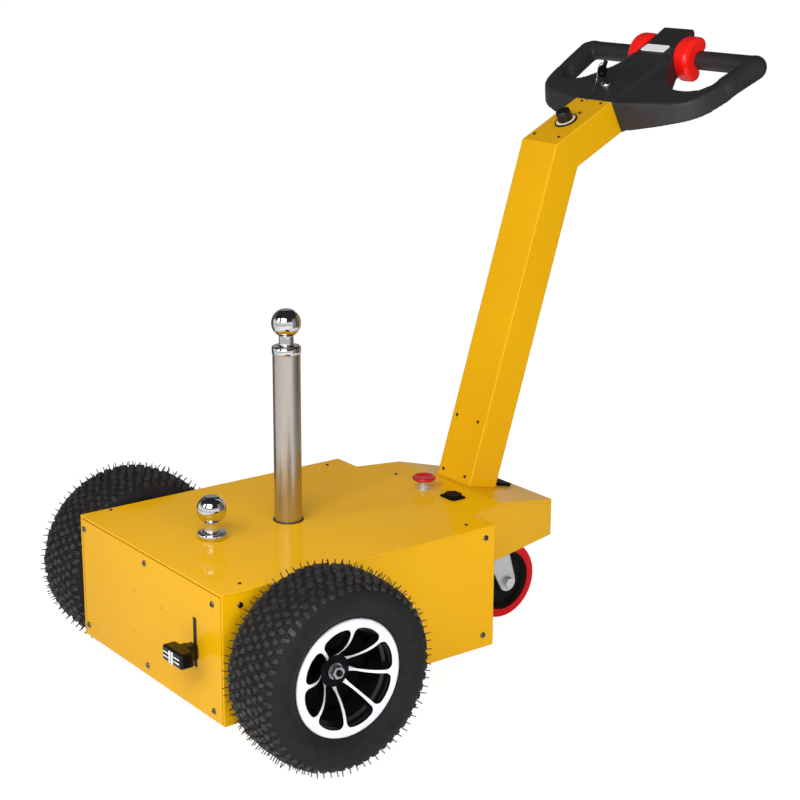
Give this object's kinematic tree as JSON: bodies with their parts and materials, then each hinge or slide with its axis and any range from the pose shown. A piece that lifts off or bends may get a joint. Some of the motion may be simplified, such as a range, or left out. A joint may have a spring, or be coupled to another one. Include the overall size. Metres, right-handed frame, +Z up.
{
  "type": "electric tow tractor",
  "caption": "Walk-behind electric tow tractor: a steel box on knobby pneumatic tyres with a swivel castor, tow balls on the deck and on a post, and a leaning tiller column.",
  "frame": {"origin": "on the floor, under the middle of the tractor's bounding box", "axes": "+X towards the front panel, +Y to the left, +Z up"},
  "size_m": [1.163, 0.714, 1.0258],
  "materials": {
    "yellow_paint": "glossy powder coat",
    "chrome": "polished chrome plate",
    "post_steel": "drawn steel tube, satin",
    "black_plastic": "moulded, fine grain",
    "red_plastic": "glossy moulded",
    "white_plate": "smooth blank plate",
    "zinc_steel": "bright zinc plate",
    "tyre_rubber": "knobby pneumatic tyre",
    "rim_alloy": "machined face, black recesses",
    "castor_black": "moulded",
    "red_tread": "polyurethane, satin",
    "battery_case": "moulded case",
    "drive_iron": "painted casting"
  },
  "bodies": {
    "chassis": {"floor_plate": "yellow_paint", "front_panel": "yellow_paint", "left_side_panel": "yellow_paint", "right_side_panel": "yellow_paint", "rear_panel": "yellow_paint", "deck_plate": "yellow_paint", "nose_left_side": "yellow_paint", "nose_right_side": "yellow_paint", "nose_rear": "yellow_paint", "castor_shelf": "yellow_paint", "drive_unit": "drive_iron", "battery_pack": "battery_case", "tow_ball_low": "chrome", "tow_post": "post_steel", "tow_ball_high": "chrome", "post_collar": "black_plastic", "release_lever": "zinc_steel", "lever_grip": "black_plastic", "stop_collar": "zinc_steel", "stop_button": "red_plastic", "charge_socket": "black_plastic", "nose_gauge": "black_plastic", "column_foot": "yellow_paint", "column": "yellow_paint", "knob_bezel": "black_plastic", "speed_knob": "black_plastic", "tiller_head": "black_plastic", "label_plate": "white_plate", "left_throttle": "red_plastic", "right_throttle": "red_plastic", "key_lock": "chrome", "key": "zinc_steel", "castor_plate": "zinc_steel"},
    "left_wheel": {"left_tyre": "tyre_rubber", "left_rim": "rim_alloy", "left_axle": "zinc_steel"},
    "right_wheel": {"right_tyre": "tyre_rubber", "right_rim": "rim_alloy", "right_axle": "zinc_steel"},
    "castor_swivel": {"castor_fork": "zinc_steel", "castor_bolt": "zinc_steel"},
    "castor_wheel": {"castor_core": "castor_black", "castor_tread": "red_tread"}
  },
  "joints": [
    {"name": "left_wheel_spin", "type": "hinge", "parent": "chassis", "child": "left_wheel", "pos_m": [0.39746, 0.295, 0.153], "axis": [0, 1, 0], "continuous": true},
    {"name": "right_wheel_spin", "type": "hinge", "parent": "chassis", "child": "right_wheel", "pos_m": [0.39746, -0.295, 0.153], "axis": [0, 1, 0], "continuous": true},
    {"name": "castor_swivel_turn", "type": "hinge", "parent": "chassis", "child": "castor_swivel", "pos_m": [-0.13254, 0, 0.18], "axis": [0, 0, 1], "continuous": true},
    {"name": "castor_wheel_spin", "type": "hinge", "parent": "castor_swivel", "child": "castor_wheel", "pos_m": [-0.17654, 0, 0.07], "axis": [0, 1, 0], "continuous": true}
  ]
}
